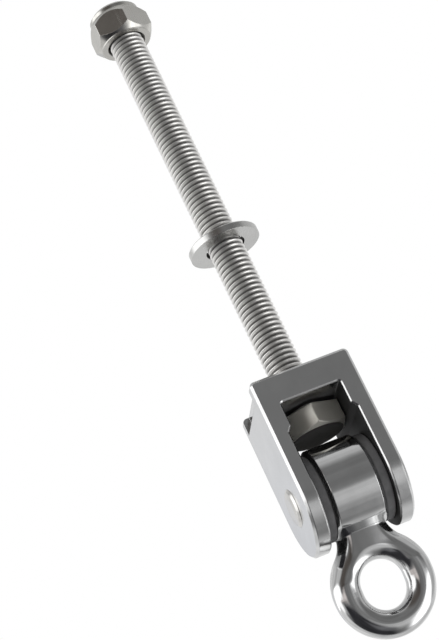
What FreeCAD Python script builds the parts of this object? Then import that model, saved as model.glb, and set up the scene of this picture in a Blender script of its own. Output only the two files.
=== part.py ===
import FreeCAD, Part
import math
import os

# Hammock hook: an eye on a riveted pin in a U-shaped bracket, hung from an M12 bolt
# that goes up through a beam and is held there by a washer and a lock nut.
# Millimetres. The origin is on the bracket's top face, on the bolt's axis.
# +Z runs up the bolt, +X along the pivot pin, and -Y is the front.

# Bracket, a cast U-shaped block with a half-round end on each arm
bracket_width = 33.0
bracket_depth = 33.0
bridge_thickness = 9.5
pivot_drop = 37.1
head_channel_width = 20.0
head_channel_end = 17.3
eye_channel_width = 23.0
channel_slope_height = 2.0
channel_corner_radius = 0.8
bolt_hole_radius = 6.5
top_corner_radius = 1.6
bracket_edge_chamfer = 0.8
channel_edge_chamfer = 0.45

# Finger notch in the top edge of each side
notch_inset = 2.5
notch_height = 5.7
front_rim = 4.4
back_rim = 3.2

# Hexagon bolt, M12 with thread up to its head. It hangs a little slack in the bridge
# until the nut is drawn up, and its point stays just inside the nut.
bolt_radius = 6.0
bolt_slack = 1.6
bolt_short_of_nut = 1.2
bolt_point_chamfer = 1.2
head_across_flats = 19.0
head_height = 7.5
head_face_radius = 9.0
head_chamfer_angle = 30.0
head_turn = -1.0

# Nylon-insert lock nut
nut_seat_height = 137.4
nut_across_flats = 19.0
nut_height = 12.7
nut_hexagon_height = 10.3
nut_face_radius = 8.4
nut_face_angle = 45.0
nut_crown_angle = 55.0
nut_collar_radius = 8.8
nut_collar_chamfer = 1.0
nut_countersink = 0.8
nut_lip_thickness = 0.7
nut_lip_radius = 6.9
nut_turn = 6.0
insert_outer_radius = 7.4
insert_height = 2.4
thread_clearance = 0.05

# Flat washer, loose on the bolt
washer_height = 52.7
washer_bore_radius = 6.75
washer_outer_radius = 12.0
washer_thickness = 2.5
washer_edge_chamfer = 0.35

# Pivot pin, riveted over at both ends
pin_radius = 5.0
pin_hole_clearance = 0.05
pin_head_radius = 6.2
pin_head_rise = 1.1
pin_bevel_radius = 5.3
pin_bevel_rise = 0.75
pin_crown_radius = 3.4

# Flanged bushes
bush_running_clearance = 0.06
bush_wall = 1.6
bush_press_clearance = 0.02
bush_flange_radius = 14.0
bush_flange_chamfer = 0.4
bush_side_play = 0.15
bush_end_gap = 0.4

# Swinging eye, one casting of hub, neck and ring, at rest swung a little to the back
hub_radius = 15.0
hub_width = 16.5
hub_edge_chamfer = 1.0
shoulder_drop = 11.75
shoulder_slope_angle = 21.0
shoulder_edge_radius = 0.6
neck_width = 16.2
neck_fillet_radius = 9.0
eye_drop = 31.3
ring_outer_width = 32.4
ring_stretch = 0.6
hole_width = 14.0
hole_stretch = 1.6
ring_thickness = 8.8
ring_flat = 0.15
eye_swing = 11.0

# Sizes that follow from the ones above
hexagon_sides = 6
corner_ratio = 1 / math.cos(math.pi / hexagon_sides)
half_width = bracket_width / 2
half_depth = bracket_depth / 2
pivot_z = -pivot_drop
eye_z = pivot_z - eye_drop
bridge_under_z = -bridge_thickness
head_top_z = bridge_under_z - bolt_slack
bolt_end_z = nut_seat_height + nut_height - bolt_short_of_nut
bush_bore_radius = pin_radius + bush_running_clearance
bush_outer_radius = bush_bore_radius + bush_wall
hub_bore_radius = bush_outer_radius + bush_press_clearance
flange_outer_x = eye_channel_width / 2 - bush_side_play
X_AXIS = FreeCAD.Vector(1, 0, 0)
Y_AXIS = FreeCAD.Vector(0, 1, 0)
Z_AXIS = FreeCAD.Vector(0, 0, 1)

# How far a cut runs past the solid, how near two values are when they count as the
# same, and a whole turn in degrees
BEYOND = 1.0
SAME = 1e-6
TURN = 360.0


def point(x, y, z):
    return FreeCAD.Vector(x, y, z)


def box(low, high):
    size = [high[i] - low[i] for i in range(3)]
    return Part.makeBox(size[0], size[1], size[2], point(low[0], low[1], low[2]))


def x_cylinder(radius, start_x, end_x, z):
    return Part.makeCylinder(radius, end_x - start_x, point(start_x, 0, z), X_AXIS)


def z_cylinder(radius, start_z, end_z):
    return Part.makeCylinder(radius, end_z - start_z, point(0, 0, start_z), Z_AXIS)


def turned(profile, axis):
    """A solid of revolution about the given axis through the origin, from a closed profile."""
    face = Part.Face(Part.makePolygon(profile + profile[:1]))
    return face.revolve(point(0, 0, 0), axis, TURN)


def edges_where(shape, wanted):
    return [edge for edge in shape.Edges if wanted(edge)]


def is_circle(edge):
    return isinstance(edge.Curve, Part.Circle)


def along(edge, axis):
    """True for a straight edge that runs along the axis."""
    if not isinstance(edge.Curve, Part.Line):
        return False
    return abs(abs(edge.tangentAt(edge.FirstParameter).dot(axis)) - 1) < SAME


def lies_at(edge, coordinate, value):
    """True when every vertex of the edge has this coordinate, 0 for x, 1 for y and 2 for z."""
    return all(abs(vertex.Point[coordinate] - value) < SAME for vertex in edge.Vertexes)


def hexagon_prism(across_flats, low_z, high_z, turn):
    """A hexagon with a corner towards the front before it is turned by the angle in degrees."""
    corner = across_flats / 2 * corner_ratio
    corners = []
    for index in range(hexagon_sides + 1):
        angle = math.radians(turn + TURN * index / hexagon_sides) - math.pi / 2
        corners.append(point(corner * math.cos(angle), corner * math.sin(angle), low_z))
    return Part.Face(Part.makePolygon(corners)).extrude(point(0, 0, high_z - low_z))


def chamfer_height(across_flats, face_radius, angle):
    """How far up a corner the cone reaches that starts at the face radius, at the angle."""
    return (across_flats / 2 * corner_ratio - face_radius) * math.tan(math.radians(angle))


def bracket_blank():
    """The outside of the bracket: a block that ends in a half round about the pivot."""
    top_left = point(-half_width, -half_depth, 0)
    top_right = point(-half_width, half_depth, 0)
    low_right = point(-half_width, half_depth, pivot_z)
    low_left = point(-half_width, -half_depth, pivot_z)
    lowest = point(-half_width, 0, pivot_z - half_depth)
    outline = [
        Part.makeLine(top_left, top_right),
        Part.makeLine(top_right, low_right),
        Part.Arc(low_right, lowest, low_left).toShape(),
        Part.makeLine(low_left, top_left),
    ]
    blank = Part.Face(Part.Wire(outline)).extrude(point(bracket_width, 0, 0))
    top_sides = edges_where(blank, lambda e: along(e, Y_AXIS) and lies_at(e, 2, 0))
    blank = blank.makeFillet(top_corner_radius, top_sides)
    rims = edges_where(blank, is_outer_rim)
    return blank.makeChamfer(bracket_edge_chamfer, rims)


def is_outer_rim(edge):
    """True for the sharp edges round the front, the back and the two round ends."""
    on_side = lies_at(edge, 0, half_width) or lies_at(edge, 0, -half_width)
    on_front_or_back = lies_at(edge, 1, half_depth) or lies_at(edge, 1, -half_depth)
    joins_round_end = lies_at(edge, 2, pivot_z)
    if joins_round_end and along(edge, X_AXIS):
        return False
    if along(edge, Y_AXIS):
        return False
    return on_side or on_front_or_back


def channel():
    """What is cut out between the arms: narrow round the bolt's head, wider round the eye."""
    low_z = pivot_z - half_depth - BEYOND
    narrow = head_channel_width / 2
    wide = eye_channel_width / 2
    slope_end = -head_channel_end - channel_slope_height
    outline = [
        (-narrow, bridge_under_z),
        (narrow, bridge_under_z),
        (narrow, -head_channel_end),
        (wide, slope_end),
        (wide, low_z),
        (-wide, low_z),
        (-wide, slope_end),
        (-narrow, -head_channel_end),
    ]
    corners = [point(x, -half_depth - BEYOND, z) for x, z in outline]
    face = Part.Face(Part.makePolygon(corners + corners[:1]))
    cut = face.extrude(point(0, bracket_depth + 2 * BEYOND, 0))
    top_corners = edges_where(cut, lambda e: along(e, Y_AXIS) and lies_at(e, 2, bridge_under_z))
    return cut.makeFillet(channel_corner_radius, top_corners)


def side_notches():
    notches = []
    for side in (-1, 1):
        inner_x = side * (half_width - notch_inset)
        outer_x = side * (half_width + BEYOND)
        low = (min(inner_x, outer_x), -half_depth + front_rim, -notch_height)
        high = (max(inner_x, outer_x), half_depth - back_rim, BEYOND)
        notches.append(box(low, high))
    return notches


def make_bracket():
    cuts = side_notches()
    cuts.append(z_cylinder(bolt_hole_radius, bridge_under_z - BEYOND, BEYOND))
    pin_hole_radius = pin_radius + pin_hole_clearance
    cuts.append(x_cylinder(pin_hole_radius, -half_width - BEYOND, half_width + BEYOND, pivot_z))
    opened = bracket_blank().cut(channel())
    mouth = edges_where(opened, is_channel_mouth)
    opened = opened.makeChamfer(channel_edge_chamfer, mouth)
    return opened.cut(cuts)


def is_channel_mouth(edge):
    """True for the edges of the channel on the front, the back and the round ends."""
    wide = eye_channel_width / 2
    inside = all(abs(vertex.Point.x) < wide + SAME for vertex in edge.Vertexes)
    if not inside or along(edge, Y_AXIS):
        return False
    on_face = lies_at(edge, 1, half_depth) or lies_at(edge, 1, -half_depth)
    on_wall = lies_at(edge, 0, wide) or lies_at(edge, 0, -wide)
    is_round = is_circle(edge) and abs(edge.Curve.Radius - half_depth) < SAME
    return on_face or (on_wall and is_round)


def make_hex_bolt():
    shank = z_cylinder(bolt_radius, head_top_z, bolt_end_z)
    point_edge = edges_where(shank, lambda e: lies_at(e, 2, bolt_end_z))
    shank = shank.makeChamfer(bolt_point_chamfer, point_edge)
    low_z = head_top_z - head_height
    prism = hexagon_prism(head_across_flats, low_z, head_top_z, head_turn)
    corner = head_across_flats / 2 * corner_ratio
    rise = chamfer_height(head_across_flats, head_face_radius, head_chamfer_angle)
    envelope = turned(
        [
            point(0, 0, low_z),
            point(head_face_radius, 0, low_z),
            point(corner, 0, low_z + rise),
            point(corner, 0, head_top_z),
            point(0, 0, head_top_z),
        ],
        Z_AXIS,
    )
    return shank.fuse(prism.common(envelope)).removeSplitter()


def make_lock_nut():
    base = nut_seat_height
    top = base + nut_height
    hexagon_top = base + nut_hexagon_height
    corner = nut_across_flats / 2 * corner_ratio
    prism = hexagon_prism(nut_across_flats, base, hexagon_top, nut_turn)
    rise = chamfer_height(nut_across_flats, nut_face_radius, nut_face_angle)
    fall = chamfer_height(nut_across_flats, nut_collar_radius, nut_crown_angle)
    envelope = turned(
        [
            point(0, 0, base),
            point(nut_face_radius, 0, base),
            point(corner, 0, base + rise),
            point(corner, 0, hexagon_top - fall),
            point(nut_collar_radius, 0, hexagon_top),
            point(0, 0, hexagon_top),
        ],
        Z_AXIS,
    )
    collar = z_cylinder(nut_collar_radius, base, top)
    rim = edges_where(collar, lambda e: lies_at(e, 2, top))
    collar = collar.makeChamfer(nut_collar_chamfer, rim)
    body = prism.common(envelope).fuse(collar)
    thread_radius = bolt_radius + thread_clearance
    pocket_floor = top - nut_lip_thickness - insert_height
    bore = turned(
        [
            point(0, 0, base - BEYOND),
            point(thread_radius + nut_countersink + BEYOND, 0, base - BEYOND),
            point(thread_radius, 0, base + nut_countersink),
            point(thread_radius, 0, pocket_floor),
            point(insert_outer_radius, 0, pocket_floor),
            point(insert_outer_radius, 0, pocket_floor + insert_height),
            point(nut_lip_radius, 0, pocket_floor + insert_height),
            point(nut_lip_radius, 0, top + BEYOND),
            point(0, 0, top + BEYOND),
        ],
        Z_AXIS,
    )
    return body.cut(bore).removeSplitter()


def make_nut_insert():
    low_z = nut_seat_height + nut_height - nut_lip_thickness - insert_height
    high_z = low_z + insert_height
    ring = z_cylinder(insert_outer_radius, low_z, high_z)
    return ring.cut(z_cylinder(bolt_radius + thread_clearance, low_z - BEYOND, high_z + BEYOND))


def make_washer():
    top = washer_height + washer_thickness
    disc = z_cylinder(washer_outer_radius, washer_height, top)
    disc = disc.makeChamfer(washer_edge_chamfer, edges_where(disc, lambda e: lies_at(e, 2, top)))
    return disc.cut(z_cylinder(washer_bore_radius, washer_height - BEYOND, top + BEYOND))


def pin_head(side):
    """A low riveted head on the outside of an arm: a cone, a flatter cone and a flat crown."""
    seat_x = side * half_width
    profile = [
        point(seat_x, 0, 0),
        point(seat_x, 0, pin_head_radius),
        point(seat_x + side * pin_bevel_rise, 0, pin_bevel_radius),
        point(seat_x + side * pin_head_rise, 0, pin_crown_radius),
        point(seat_x + side * pin_head_rise, 0, 0),
    ]
    head = turned(profile, X_AXIS)
    head.translate(point(0, 0, pivot_z))
    return head


def make_pivot_pin():
    shank = x_cylinder(pin_radius, -half_width, half_width, pivot_z)
    return shank.fuse([pin_head(-1), pin_head(1)]).removeSplitter()


def make_bush(side):
    """A sleeve pressed into the hub, with a wide flange that fills the gap to the arm."""
    seat_x = hub_width / 2
    sleeve_start = bush_end_gap / 2
    sleeve = x_cylinder(bush_outer_radius, sleeve_start, flange_outer_x, 0)
    flange = x_cylinder(bush_flange_radius, seat_x, flange_outer_x, 0)
    flange = flange.makeChamfer(bush_flange_chamfer, edges_where(flange, is_circle))
    bore = x_cylinder(bush_bore_radius, sleeve_start - BEYOND, flange_outer_x + BEYOND, 0)
    bush = sleeve.fuse(flange).removeSplitter().cut(bore)
    if side < 0:
        bush = bush.mirror(point(0, 0, 0), X_AXIS)
    bush.translate(point(0, 0, pivot_z))
    return bush


def neck_and_ring():
    """The neck that widens into the ring: one outline with the eye's hole, then rounded."""
    outer = ring_outer_width / 2
    inner = hole_width / 2
    upper_z = eye_z + ring_stretch / 2
    lower_z = eye_z - ring_stretch / 2
    hole_upper_z = eye_z + hole_stretch / 2
    hole_lower_z = eye_z - hole_stretch / 2
    half_neck = neck_width / 2
    root_z = pivot_z - shoulder_drop / 2
    reach = outer + neck_fillet_radius
    fillet_x = half_neck + neck_fillet_radius
    fillet_z = upper_z + math.sqrt(reach**2 - fillet_x**2)
    touch_x = fillet_x * outer / reach
    touch_z = upper_z + (fillet_z - upper_z) * outer / reach
    to_line = point(-1, 0, 0)
    to_ring = point(touch_x - fillet_x, 0, touch_z - fillet_z).normalize()
    middle = point(fillet_x, 0, fillet_z) + (to_line + to_ring).normalize() * neck_fillet_radius

    def both(x, z):
        return point(x, 0, z), point(-x, 0, z)

    root_right, root_left = both(half_neck, root_z)
    line_right, line_left = both(half_neck, fillet_z)
    arc_right, arc_left = both(middle.x, middle.z)
    ring_right, ring_left = both(touch_x, touch_z)
    side_right, side_left = both(outer, upper_z)
    low_right, low_left = both(outer, lower_z)
    on_ring = math.atan2(touch_z - upper_z, touch_x) / 2
    bow_right, bow_left = both(outer * math.cos(on_ring), upper_z + outer * math.sin(on_ring))
    bottom = point(0, 0, lower_z - outer)
    outline = [
        Part.makeLine(root_left, root_right),
        Part.makeLine(root_right, line_right),
        Part.Arc(line_right, arc_right, ring_right).toShape(),
        Part.Arc(ring_right, bow_right, side_right).toShape(),
        Part.makeLine(side_right, low_right),
        Part.Arc(low_right, bottom, low_left).toShape(),
        Part.makeLine(low_left, side_left),
        Part.Arc(side_left, bow_left, ring_left).toShape(),
        Part.Arc(ring_left, arc_left, line_left).toShape(),
        Part.makeLine(line_left, root_left),
    ]
    in_right, in_left = both(inner, hole_upper_z)
    in_low_right, in_low_left = both(inner, hole_lower_z)
    hole = [
        Part.Arc(in_right, point(0, 0, hole_upper_z + inner), in_left).toShape(),
        Part.makeLine(in_left, in_low_left),
        Part.Arc(in_low_left, point(0, 0, hole_lower_z - inner), in_low_right).toShape(),
        Part.makeLine(in_low_right, in_right),
    ]
    through = point(0, ring_thickness, 0)
    plate = Part.Face(Part.Wire(outline)).extrude(through)
    plate = plate.cut(Part.Face(Part.Wire(hole)).extrude(through))
    plate.translate(point(0, -ring_thickness / 2, 0))
    long_edges = edges_where(plate, lambda e: is_long_edge(e, root_z, ring_thickness / 2))
    side_wall = outer - inner
    end_wall = side_wall - (hole_stretch - ring_stretch) / 2
    thinnest = min(ring_thickness, side_wall, end_wall)
    return plate.makeFillet(thinnest / 2 - ring_flat, long_edges)


def is_long_edge(edge, root_z, half_thickness):
    """True for the plate's edges along its outline and hole, but not across its upper end."""
    on_face = lies_at(edge, 1, half_thickness) or lies_at(edge, 1, -half_thickness)
    return on_face and not lies_at(edge, 2, root_z)


def half_shoulder():
    """How far the barrel reaches to the front and back where its shoulders start."""
    return math.sqrt(hub_radius**2 - shoulder_drop**2)


def make_hub():
    """The barrel round the pin, cut below so that shoulders slope down to the neck."""
    barrel = x_cylinder(hub_radius, -hub_width / 2, hub_width / 2, pivot_z)
    barrel = barrel.makeChamfer(hub_edge_chamfer, edges_where(barrel, is_circle))
    past = hub_radius + BEYOND
    slope = math.tan(math.radians(shoulder_slope_angle))
    valley_z = pivot_z - shoulder_drop - half_shoulder() * slope
    below = [
        point(-past, 0, valley_z),
        point(-past, past, valley_z + past * slope),
        point(-past, past, pivot_z - past),
        point(-past, -past, pivot_z - past),
        point(-past, -past, valley_z + past * slope),
    ]
    face = Part.Face(Part.makePolygon(below + below[:1]))
    return barrel.cut(face.extrude(point(2 * past, 0, 0)))


def soften_shoulders(eye):
    """Rounds the two long edges where the shoulders meet the barrel."""
    reach = half_shoulder()
    at_height = edges_where(eye, lambda e: lies_at(e, 2, pivot_z - shoulder_drop))
    outer = [edge for edge in at_height if abs(abs(edge.CenterOfMass.y) - reach) < SAME]
    return eye.makeFillet(shoulder_edge_radius, outer)


def make_swing_eye():
    eye = soften_shoulders(make_hub().fuse(neck_and_ring()).removeSplitter())
    bore = x_cylinder(hub_bore_radius, -hub_width, hub_width, pivot_z)
    eye = eye.cut(bore)
    eye.rotate(point(0, 0, pivot_z), X_AXIS, eye_swing)
    return eye


def main():
    nodes = {
        "bracket": make_bracket(),
        "hex_bolt": make_hex_bolt(),
        "lock_nut": make_lock_nut(),
        "nut_insert": make_nut_insert(),
        "washer": make_washer(),
        "pivot_pin": make_pivot_pin(),
        "bush_left": make_bush(-1),
        "bush_right": make_bush(1),
        "swing_eye": make_swing_eye(),
    }
    os.makedirs("parts", exist_ok=True)
    for name, shape in nodes.items():
        solids = shape.Solids
        assert shape.isValid() and len(solids) == 1, name
        solids[0].exportStep("parts/" + name + ".step")
        print(name, round(shape.Volume, 1), len(shape.Faces))


main()
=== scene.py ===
import math

import bmesh
import bpy
from mathutils import Matrix, Vector


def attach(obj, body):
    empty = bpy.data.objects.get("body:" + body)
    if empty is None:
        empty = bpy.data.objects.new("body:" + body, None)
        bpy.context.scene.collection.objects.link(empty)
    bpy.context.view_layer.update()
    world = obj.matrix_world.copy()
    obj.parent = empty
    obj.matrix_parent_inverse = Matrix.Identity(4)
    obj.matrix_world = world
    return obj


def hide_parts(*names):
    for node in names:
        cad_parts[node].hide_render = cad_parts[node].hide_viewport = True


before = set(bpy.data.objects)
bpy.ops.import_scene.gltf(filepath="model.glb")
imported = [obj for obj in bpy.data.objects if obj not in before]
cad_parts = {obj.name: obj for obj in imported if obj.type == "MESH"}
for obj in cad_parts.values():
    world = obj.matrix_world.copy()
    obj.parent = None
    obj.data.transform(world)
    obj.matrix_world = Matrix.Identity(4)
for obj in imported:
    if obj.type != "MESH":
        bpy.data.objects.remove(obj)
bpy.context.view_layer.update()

# Hammock hook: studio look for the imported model. Sizes below are in millimetres and turned
# into metres as a mesh is made. +Z runs up the bolt and -Y is the front, as in the frame.
MM = 0.001

# Camera, as the photograph was taken: from below and a little to the left of the front
camera_position = (-136.31, -516.43, -184.74)
camera_right = (0.915691, -0.054866, -0.398121)
camera_up = (0.338431, -0.428977, 0.837522)
focal_pixels = 1797.66
picture_height = 640
sensor_mm = 36.0

# Bolt, M12 coarse thread up to its head
bolt_end = 148.9
bolt_start = -11.4
thread_pitch = 1.75
thread_crest = 5.95
thread_root = 4.93
crest_fullness = 0.75
thread_steps = 14
thread_segments = 48
point_chamfer = 1.15
head_low = -18.6
head_high = -11.1
head_across_flats = 19.0
head_face_radius = 9.0
head_turn = -1.0
head_chamfer_degrees = 30
head_dish_depth = 0.25
head_dish_radius = 7.6
head_dish_wall = 0.6
head_steps_per_side = 12

floor_height = -0.62
floor_size = 6.0

# The eye's neck is a little crowned across by polishing. The crown sets in over the first two
# heights and fades over the last two, and its slope grows by this much a millimetre sideways.
neck_heights = (-65.0, -56.5, -52.0, -49.5)
neck_crown_slope = 0.024

# Surface of the steel: noise scales are per metre and heights of the relief are in metres
cloud_scale = 90.0
fine_scale = 900.0
wave_scale = 160.0
wave_height = 0.0002
grain_height = 0.00002
usual_lay = (500.0, 500.0, 60.0)
shaded_roughness = 0.45
shaded_gloss = 0.12

# Surface of the nylon, in the same units
mottle_scale = 250.0
pit_scale = 2600.0
pit_strength = 0.35
pit_height = 0.00003


def value(node, name, number):
    node.inputs[name].default_value = number


class Nodes:
    """Short calls for making one node tree."""

    def __init__(self, tree):
        self.tree = tree
        tree.nodes.clear()

    def add(self, kind, **settings):
        node = self.tree.nodes.new(kind)
        for name, setting in settings.items():
            setattr(node, name, setting)
        return node

    def link(self, source, target):
        self.tree.links.new(source, target)

    def math(self, operation, first, second=0.0, clamp=False):
        node = self.add("ShaderNodeMath", operation=operation, use_clamp=clamp)
        for socket, term in ((node.inputs[0], first), (node.inputs[1], second)):
            if isinstance(term, (int, float)):
                socket.default_value = term
            else:
                self.link(term, socket)
        return node.outputs[0]

    def map_range(self, source, low, high, to_low, to_high, smooth=False):
        node = self.add("ShaderNodeMapRange")
        node.interpolation_type = "SMOOTHSTEP" if smooth else "LINEAR"
        self.link(source, node.inputs["Value"])
        value(node, "From Min", low)
        value(node, "From Max", high)
        value(node, "To Min", to_low)
        value(node, "To Max", to_high)
        return node.outputs["Result"]

    def noise(self, vector, scale, detail=3.0, roughness=0.55, stretch=None):
        if stretch is not None:
            mapping = self.add("ShaderNodeMapping")
            self.link(vector, mapping.inputs["Vector"])
            value(mapping, "Scale", stretch)
            vector = mapping.outputs["Vector"]
        node = self.add("ShaderNodeTexNoise")
        self.link(vector, node.inputs["Vector"])
        value(node, "Scale", scale)
        value(node, "Detail", detail)
        value(node, "Roughness", roughness)
        return node.outputs["Fac"]

    def ramp(self, source, stops, interpolation="LINEAR"):
        node = self.add("ShaderNodeValToRGB")
        node.color_ramp.interpolation = interpolation
        elements = node.color_ramp.elements
        while len(elements) > 1:
            elements.remove(elements[-1])
        for index, (position, level) in enumerate(stops):
            colour = level if isinstance(level, tuple) else (level, level, level)
            element = elements[0] if index == 0 else elements.new(position)
            element.position = position
            element.color = (*colour, 1.0)
        self.link(source, node.inputs["Fac"])
        return node.outputs["Color"]


def make_camera():
    data = bpy.data.cameras.new("camera")
    data.sensor_width = sensor_mm
    data.lens = focal_pixels / picture_height * sensor_mm
    data.clip_start = 0.01
    data.clip_end = 20
    camera = bpy.data.objects.new("camera", data)
    bpy.context.scene.collection.objects.link(camera)
    right, up = Vector(camera_right), Vector(camera_up)
    back = right.cross(up)
    turn = Matrix((right, up, back)).transposed()
    camera.matrix_world = Matrix.Translation(Vector(camera_position) * MM) @ turn.to_4x4()
    bpy.context.scene.camera = camera


def angle_stops(table):
    """Colour-ramp stops from pairs of an angle in degrees, -180 to 180, and a brightness."""
    return [((angle + 180) / 360, level) for angle, level in table]


# The studio as the steel mirrors it, by two angles in degrees. The first runs round the pin's
# direction: 0 is the front, 90 straight up, 180 the back. The second runs from the left, -90,
# to the right, 90. The ring gives the brightness by the first angle alone.
studio_ring = [
    (-180, 0.90),
    (-150, 0.90),
    (-126, 0.72),
    (-112, 0.66),
    (-100, 0.42),
    (-92, 0.27),
    (-68, 0.27),
    (-54, 0.50),
    (-20, 0.68),
    (-12, 0.27),
    (0, 0.195),
    (24, 0.205),
    (44, 0.215),
    (60, 0.55),
    (90, 0.70),
    (112, 0.55),
    (134, 0.75),
    (180, 0.90),
]

# Soft boxes and dark flags laid over the ring in this order:
# first angle from and to, second angle from and to, how soft the two pairs of edges are, colour
studio_panels = [
    ((-104, -13), (-62, 5), (8, 8), (0.042, 0.042, 0.046)),
    ((-62, -34), (-14, 6), (9, 6), (0.20, 0.20, 0.21)),
    ((0, 56), (-36, -4), (8, 10), (0.11, 0.098, 0.090)),
    ((-11, -1), (-80, -16), (4, 9), (0.78, 0.72, 0.70)),
    ((-190, 190), (64, 95), (10, 12), (0.58, 0.58, 0.58)),
    ((-112, -13), (20, 62), (14, 8), (0.95, 0.95, 0.96)),
    ((-88, -13), (23, 58), (4, 5), (2.0, 2.0, 2.0)),
    ((-2, 190), (-95, -46), (6, 7), (1.8, 1.8, 1.8)),
    ((-190, 190), (-95, -76), (10, 6), (1.5, 1.5, 1.5)),
    ((162, 200), (-24, -4), (4, 5), (0.74, 0.75, 0.78)),
]
room_unevenness = 0.22
room_patch_size = 2.6


def between(nodes, angle, limits, softness):
    """1 inside the two limits and 0 outside, with soft edges."""
    low, high = limits
    enter = nodes.map_range(angle, low - softness, low + softness, 0.0, 1.0, smooth=True)
    leave = nodes.map_range(angle, high - softness, high + softness, 1.0, 0.0, smooth=True)
    return nodes.math("MULTIPLY", enter, leave)


def make_world():
    """A white room for the camera, and soft boxes and dark flags for the reflections."""
    world = bpy.data.worlds.new("studio")
    bpy.context.scene.world = world
    world.use_nodes = True
    nodes = Nodes(world.node_tree)
    direction = nodes.add("ShaderNodeTexCoord").outputs["Generated"]
    split = nodes.add("ShaderNodeSeparateXYZ")
    nodes.link(direction, split.inputs[0])
    x, y, z = split.outputs
    front = nodes.math("MULTIPLY", y, -1.0)
    degrees = 180 / math.pi
    around = nodes.math("MULTIPLY", nodes.math("ARCTAN2", z, front), degrees)
    across = nodes.math("MULTIPLY", nodes.math("ARCSINE", x), degrees)
    turn = nodes.map_range(around, -180, 180, 0.0, 1.0)
    seen = nodes.ramp(turn, angle_stops(studio_ring))
    for first, second, (first_edge, second_edge), colour in studio_panels:
        inside = nodes.math(
            "MULTIPLY",
            between(nodes, around, first, first_edge),
            between(nodes, across, second, second_edge),
        )
        panel = nodes.add("ShaderNodeMixRGB")
        nodes.link(inside, panel.inputs["Fac"])
        nodes.link(seen, panel.inputs["Color1"])
        panel.inputs["Color2"].default_value = (*colour, 1.0)
        seen = panel.outputs["Color"]
    patches = nodes.noise(direction, room_patch_size, detail=3.0)
    uneven = nodes.map_range(patches, 0.3, 0.7, 1 - room_unevenness, 1 + room_unevenness)
    room = nodes.add("ShaderNodeBackground")
    nodes.link(seen, room.inputs["Color"])
    nodes.link(uneven, room.inputs["Strength"])
    plain = nodes.add("ShaderNodeBackground")
    plain.inputs["Color"].default_value = (1.0, 1.0, 1.0, 1.0)
    value(plain, "Strength", 1.0)
    path = nodes.add("ShaderNodeLightPath")
    mix = nodes.add("ShaderNodeMixShader")
    nodes.link(path.outputs["Is Camera Ray"], mix.inputs["Fac"])
    nodes.link(room.outputs[0], mix.inputs[1])
    nodes.link(plain.outputs[0], mix.inputs[2])
    output = nodes.add("ShaderNodeOutputWorld")
    nodes.link(mix.outputs[0], output.inputs["Surface"])


def make_floor():
    bpy.ops.mesh.primitive_plane_add(size=floor_size, location=(0, 0, floor_height))
    floor = bpy.context.object
    floor.name = "floor"
    material = bpy.data.materials.new("pale_floor")
    material.use_nodes = True
    shader = material.node_tree.nodes["Principled BSDF"]
    value(shader, "Base Color", (0.86, 0.86, 0.86, 1.0))
    value(shader, "Roughness", 0.9)
    floor.data.materials.append(material)
    floor.visible_glossy = False


def inner_walls(nodes, place, normal):
    """0 on walls that face the middle from the left or the right, 1 on chamfers and elsewhere."""
    # Where this gives 0 the steel takes painted shade and a rougher finish
    split_place = nodes.add("ShaderNodeSeparateXYZ")
    nodes.link(place, split_place.inputs[0])
    split_normal = nodes.add("ShaderNodeSeparateXYZ")
    nodes.link(normal, split_normal.inputs[0])
    side = nodes.math("SIGN", split_place.outputs[0])
    outward = nodes.math("MULTIPLY", split_normal.outputs[0], side)
    frontal = nodes.math("ABSOLUTE", split_normal.outputs[1])
    return nodes.map_range(nodes.math("ADD", outward, frontal), -0.6, -0.2, 0.0, 1.0)


def underside(nodes, place, normal):
    """0 on faces that look straight down, and 1 elsewhere. It has no need of the place."""
    # Where this gives 0 the steel takes painted shade and a rougher finish
    split = nodes.add("ShaderNodeSeparateXYZ")
    nodes.link(normal, split.inputs[0])
    return nodes.map_range(split.outputs[2], -0.98, -0.92, 0.0, 1.0)


def neck_crown(nodes, place):
    """Height in metres of the soft crown that polishing left on the eye's neck."""
    split = nodes.add("ShaderNodeSeparateXYZ")
    nodes.link(place, split.inputs[0])
    x, z = split.outputs[0], split.outputs[2]
    low, low_full, high_full, high = (level * MM for level in neck_heights)
    enter = nodes.map_range(z, low, low_full, 0.0, 1.0, smooth=True)
    leave = nodes.map_range(z, high_full, high, 1.0, 0.0, smooth=True)
    curve = nodes.math("MULTIPLY", nodes.math("MULTIPLY", x, x), -neck_crown_slope / 2 / MM)
    return nodes.math("MULTIPLY", curve, nodes.math("MULTIPLY", enter, leave))


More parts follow.
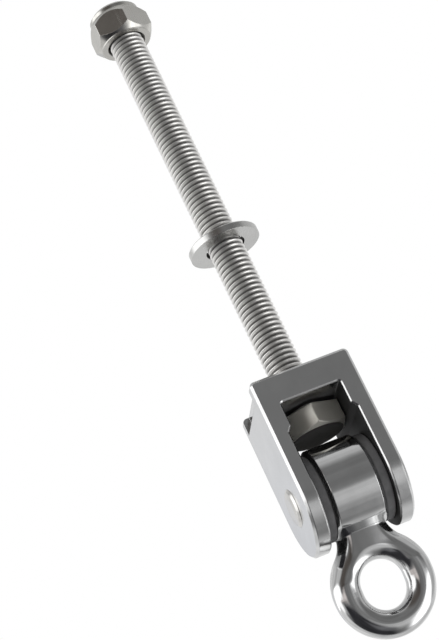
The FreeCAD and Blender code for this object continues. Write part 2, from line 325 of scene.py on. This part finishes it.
def steel(
    name,
    tint,
    base_roughness,
    wear,
    wave,
    grain,
    edge_radius,
    cavity_shade,
    lay=usual_lay,
    shaded_rough_faces=None,
    crown=None,
    matt=0.0,
):
    """Stainless steel: polish that varies, scratches along lay, soft edges, painted shade in
    hollows.

    wear is how much the roughness varies, wave and grain are the strengths of the slow and the
    fine relief, and edge_radius is in millimetres. The hollow shade sets the painted shade in
    hollows: how far round a spot looks for what closes it in, in millimetres, how open it is
    where the painted shade is darkest and where it is gone, and the share of the colour that is
    left at the darkest. The mask of shaded faces gives 0 on faces that also take painted shade,
    with a rougher, less metallic finish, and crown the height of a gentle rounding. matt is the
    share of the surface that scatters the light.
    """
    material = bpy.data.materials.new(name)
    material.use_nodes = True
    nodes = Nodes(material.node_tree)
    shader = nodes.add("ShaderNodeBsdfPrincipled")
    value(shader, "Metallic", 1.0 - matt)
    coordinates = nodes.add("ShaderNodeTexCoord")
    place = coordinates.outputs["Object"]
    cloud = nodes.noise(place, cloud_scale, detail=4.0)
    fine = nodes.noise(place, fine_scale, detail=2.0)
    scratch = nodes.noise(place, 1.0, detail=2.0, stretch=lay)
    # Painted shade: ambient occlusion darkens the colour in hollows and raises the roughness there
    openness = nodes.add("ShaderNodeAmbientOcclusion", samples=8)
    reach, darkest, open_enough, share = cavity_shade
    value(openness, "Distance", reach * MM)
    unshaded_polish = nodes.map_range(openness.outputs["AO"], darkest, open_enough, 0.0, 1.0, smooth=True)
    # Faces the mask gives 0 take painted shade as well, lose their metal and get a rougher finish
    if shaded_rough_faces is not None:
        polished_here = shaded_rough_faces(nodes, place, coordinates.outputs["Normal"])
        unshaded_polish = nodes.math("MULTIPLY", unshaded_polish, polished_here)
        value(shader, "Specular IOR Level", shaded_gloss)
        nodes.link(nodes.math("MULTIPLY", unshaded_polish, 1.0 - matt), shader.inputs["Metallic"])
    dark = tuple(channel * 0.9 for channel in tint)
    polished = nodes.ramp(cloud, [(0.3, dark), (0.7, tint)])
    # The colour is mixed down to the share of the tint where the shade is painted
    painted_shade_colour = nodes.add("ShaderNodeMixRGB")
    nodes.link(unshaded_polish, painted_shade_colour.inputs["Fac"])
    painted_shade_colour.inputs["Color1"].default_value = (*(channel * share for channel in tint), 1.0)
    nodes.link(polished, painted_shade_colour.inputs["Color2"])
    nodes.link(painted_shade_colour.outputs["Color"], shader.inputs["Base Color"])
    spread = nodes.math("ADD", nodes.math("MULTIPLY", cloud, wear), base_roughness - wear * 0.5)
    marks = nodes.map_range(scratch, 0.55, 0.75, 0.0, wear)
    rough = nodes.math("ADD", spread, marks)
    cast = nodes.map_range(unshaded_polish, 0.0, 1.0, shaded_roughness, 0.0)
    nodes.link(nodes.math("ADD", rough, cast, clamp=True), shader.inputs["Roughness"])
    bevel = nodes.add("ShaderNodeBevel", samples=6)
    value(bevel, "Radius", edge_radius * MM)
    shape = bevel.outputs["Normal"]
    if crown is not None:
        crowned = nodes.add("ShaderNodeBump")
        nodes.link(crown(nodes, place), crowned.inputs["Height"])
        nodes.link(shape, crowned.inputs["Normal"])
        value(crowned, "Strength", 1.0)
        value(crowned, "Distance", 1.0)
        shape = crowned.outputs["Normal"]
    slow = nodes.add("ShaderNodeBump")
    nodes.link(nodes.noise(place, wave_scale, detail=1.0), slow.inputs["Height"])
    nodes.link(shape, slow.inputs["Normal"])
    value(slow, "Strength", wave)
    value(slow, "Distance", wave_height)
    grained = nodes.add("ShaderNodeBump")
    height = nodes.math(
        "ADD",
        nodes.math("MULTIPLY", scratch, 0.6),
        nodes.math("MULTIPLY", fine, 0.4),
    )
    nodes.link(height, grained.inputs["Height"])
    nodes.link(slow.outputs["Normal"], grained.inputs["Normal"])
    value(grained, "Strength", grain)
    value(grained, "Distance", grain_height)
    nodes.link(grained.outputs["Normal"], shader.inputs["Normal"])
    output = nodes.add("ShaderNodeOutputMaterial")
    nodes.link(shader.outputs[0], output.inputs["Surface"])
    return material


def nylon(name, dark, pale, base_roughness):
    """Moulded nylon: mottled colour, a dull sheen and a fine pitted surface."""
    material = bpy.data.materials.new(name)
    material.use_nodes = True
    nodes = Nodes(material.node_tree)
    shader = nodes.add("ShaderNodeBsdfPrincipled")
    place = nodes.add("ShaderNodeTexCoord").outputs["Object"]
    cloud = nodes.noise(place, mottle_scale, detail=4.0)
    pits = nodes.noise(place, pit_scale, detail=2.0)
    nodes.link(nodes.ramp(cloud, [(0.3, dark), (0.7, pale)]), shader.inputs["Base Color"])
    rough = nodes.math("ADD", nodes.math("MULTIPLY", pits, 0.2), base_roughness)
    nodes.link(rough, shader.inputs["Roughness"])
    bump = nodes.add("ShaderNodeBump")
    nodes.link(pits, bump.inputs["Height"])
    value(bump, "Strength", pit_strength)
    value(bump, "Distance", pit_height)
    nodes.link(bump.outputs["Normal"], shader.inputs["Normal"])
    output = nodes.add("ShaderNodeOutputMaterial")
    nodes.link(shader.outputs[0], output.inputs["Surface"])
    return material


def new_piece(name, mesh_data, material, body, smooth_angle=30):
    """Makes the piece from a bmesh, shades it smooth below the angle, and rides it on the body."""
    bmesh.ops.recalc_face_normals(mesh_data, faces=mesh_data.faces)
    mesh = bpy.data.meshes.new(name)
    mesh_data.to_mesh(mesh)
    mesh_data.free()
    mesh.materials.append(material)
    piece = bpy.data.objects.new(name, mesh)
    bpy.context.scene.collection.objects.link(piece)
    mesh.shade_smooth()
    mesh.set_sharp_from_angle(angle=math.radians(smooth_angle))
    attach(piece, body)
    return piece


def thread_radius(phase):
    """Radius at a place along one turn, 0 to 1, with a rounded crest at a half."""
    wave = (1 - math.cos(2 * math.pi * phase)) / 2
    return thread_root + (thread_crest - thread_root) * wave**crest_fullness


def make_bolt_thread(material):
    """The whole shank as one helical surface, closed at both ends, with a chamfered point."""
    turns = math.ceil((bolt_end - bolt_start) / thread_pitch) + 2
    rows = turns * thread_steps
    mesh = bmesh.new()
    columns = []
    for segment in range(thread_segments):
        angle = 2 * math.pi * segment / thread_segments
        lead = thread_pitch * segment / thread_segments - thread_pitch
        column, last = [], None
        for row in range(rows + 1):
            z = bolt_start + lead + thread_pitch * row / thread_steps
            clamped = min(max(z, bolt_start), bolt_end)
            if last is not None and clamped == last[0]:
                column.append(last[1])
                continue
            radius = thread_radius((row % thread_steps) / thread_steps)
            if clamped != z:
                radius = thread_root
            cone = thread_crest - max(0.0, clamped - (bolt_end - point_chamfer))
            radius = min(radius, cone)
            vertex = mesh.verts.new(
                (radius * math.cos(angle) * MM, radius * math.sin(angle) * MM, clamped * MM)
            )
            last = (clamped, vertex)
            column.append(vertex)
        columns.append(column)
    for segment in range(thread_segments):
        here = columns[segment]
        there = columns[(segment + 1) % thread_segments]
        shift = thread_steps if segment + 1 == thread_segments else 0
        for row in range(rows):
            upper = min(row + 1, rows)
            a, b = here[row], here[upper]
            c = there[min(upper + shift, rows)]
            d = there[min(row + shift, rows)]
            corners = []
            for corner in (a, b, c, d):
                if corner not in corners:
                    corners.append(corner)
            if len(corners) >= 3:
                mesh.faces.new(corners)
    boundary = [edge for edge in mesh.edges if edge.is_boundary]
    bmesh.ops.holes_fill(mesh, edges=boundary, sides=0)
    piece = new_piece("bolt_thread", mesh, material, "hanger", smooth_angle=50)
    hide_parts("hex_bolt")
    return piece


def hexagon_radius(angle, across_flats):
    within = (angle + math.pi / 6) % (math.pi / 3) - math.pi / 6
    return across_flats / 2 / math.cos(within)


def make_bolt_head(material):
    """The hexagon head: dished outer face, chamfered corners, six flats."""
    count = 6 * head_steps_per_side
    slope = math.tan(math.radians(head_chamfer_degrees))
    turn = math.radians(head_turn)
    mesh = bmesh.new()
    rings = []

    def ring(radius_of, height_of):
        made = []
        for index in range(count):
            local = 2 * math.pi * index / count
            angle = local + turn
            radius = radius_of(local)
            x, y, z = radius * math.cos(angle), radius * math.sin(angle), height_of(radius)
            made.append(mesh.verts.new((x * MM, y * MM, z * MM)))
        rings.append(made)

    def corner(local):
        return hexagon_radius(local, head_across_flats)

    def chamfered(radius):
        return head_low + max(0.0, radius - head_face_radius) * slope

    dish_floor_radius = head_dish_radius - head_dish_wall
    ring(lambda local: dish_floor_radius, lambda radius: head_low + head_dish_depth)
    ring(lambda local: head_dish_radius, lambda radius: head_low)
    ring(lambda local: head_face_radius, lambda radius: head_low)
    ring(corner, chamfered)
    ring(corner, lambda radius: head_high)
    for lower, upper in zip(rings, rings[1:]):
        for index in range(count):
            following = (index + 1) % count
            mesh.faces.new((lower[index], lower[following], upper[following], upper[index]))
    mesh.faces.new(list(reversed(rings[0])))
    middle = mesh.verts.new((0.0, 0.0, head_high * MM))
    for index in range(count):
        mesh.faces.new((rings[-1][index], rings[-1][(index + 1) % count], middle))
    piece = new_piece("bolt_head", mesh, material, "hanger", smooth_angle=25)
    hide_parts("hex_bolt")
    return piece


def dress(node, material):
    """Gives a carried-over CAD node its finished material."""
    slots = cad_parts[node].data.materials
    for index in range(len(slots)):
        slots[index] = material


make_camera()
make_world()
make_floor()

# Painted shade in hollows: reach in millimetres, openness at the darkest and where the shade is
# gone, colour share left
deep = (14.0, 0.10, 0.65, 0.06)
shallow = (10.0, 0.15, 0.55, 0.07)
beside_neck = (10.0, 0.15, 0.70, 0.20)
groove = (1.0, 0.32, 0.92, 0.15)
rim = (1.5, 0.35, 0.90, 0.12)
recess = (3.0, 0.0, 0.15, 0.06)

# Lay of the scratches: noise scale per metre in x, y and z, low along the scratches
no_lay = (300.0, 300.0, 300.0)
up_lay = (500.0, 500.0, 40.0)
front_lay = (400.0, 60.0, 400.0)

# Every steel below takes painted shade in its hollows; the casting also on its inner walls, the
# head on its underside
bright = (0.652, 0.655, 0.655)
casting = steel(
    "polished_casting",
    tint=bright,
    base_roughness=0.15,
    wear=0.06,
    wave=0.20,
    grain=0.25,
    edge_radius=0.35,
    cavity_shade=deep,
    shaded_rough_faces=inner_walls,
)
eye_steel = steel(
    "polished_eye",
    tint=bright,
    base_roughness=0.08,
    wear=0.05,
    wave=0.30,
    grain=0.15,
    edge_radius=0.35,
    cavity_shade=beside_neck,
    crown=neck_crown,
)
bolt_steel = steel(
    "bolt_steel",
    tint=(0.92, 0.91, 0.89),
    base_roughness=0.33,
    wear=0.06,
    wave=0.02,
    grain=0.15,
    edge_radius=0.05,
    cavity_shade=groove,
    lay=no_lay,
    matt=0.08,
)
head_steel = steel(
    "head_steel",
    tint=(0.94, 0.92, 0.84),
    base_roughness=0.30,
    wear=0.10,
    wave=0.05,
    grain=0.25,
    edge_radius=0.50,
    cavity_shade=recess,
    lay=no_lay,
    shaded_rough_faces=underside,
    matt=0.34,
)
nut_steel = steel(
    "nut_steel",
    tint=(0.62, 0.61, 0.58),
    base_roughness=0.22,
    wear=0.10,
    wave=0.10,
    grain=0.35,
    edge_radius=0.35,
    cavity_shade=shallow,
    lay=up_lay,
)
washer_steel = steel(
    "washer_steel",
    tint=(0.64, 0.64, 0.63),
    base_roughness=0.26,
    wear=0.08,
    wave=0.06,
    grain=0.40,
    edge_radius=0.15,
    cavity_shade=shallow,
    lay=front_lay,
)
pin_steel = steel(
    "pin_steel",
    tint=(0.64, 0.63, 0.61),
    base_roughness=0.18,
    wear=0.08,
    wave=0.12,
    grain=0.30,
    edge_radius=0.25,
    cavity_shade=rim,
)
black_nylon = nylon("bush_nylon", (0.15, 0.15, 0.155), (0.22, 0.22, 0.225), 0.55)
white_nylon = nylon("insert_nylon", (0.62, 0.61, 0.57), (0.78, 0.77, 0.73), 0.38)

dress("bracket", casting)
dress("swing_eye", eye_steel)
dress("lock_nut", nut_steel)
dress("washer", washer_steel)
dress("pivot_pin", pin_steel)
dress("bush_left", black_nylon)
dress("bush_right", black_nylon)
dress("nut_insert", white_nylon)

make_bolt_thread(bolt_steel)
make_bolt_head(head_steel)

bpy.context.scene.view_settings.view_transform = "Standard"
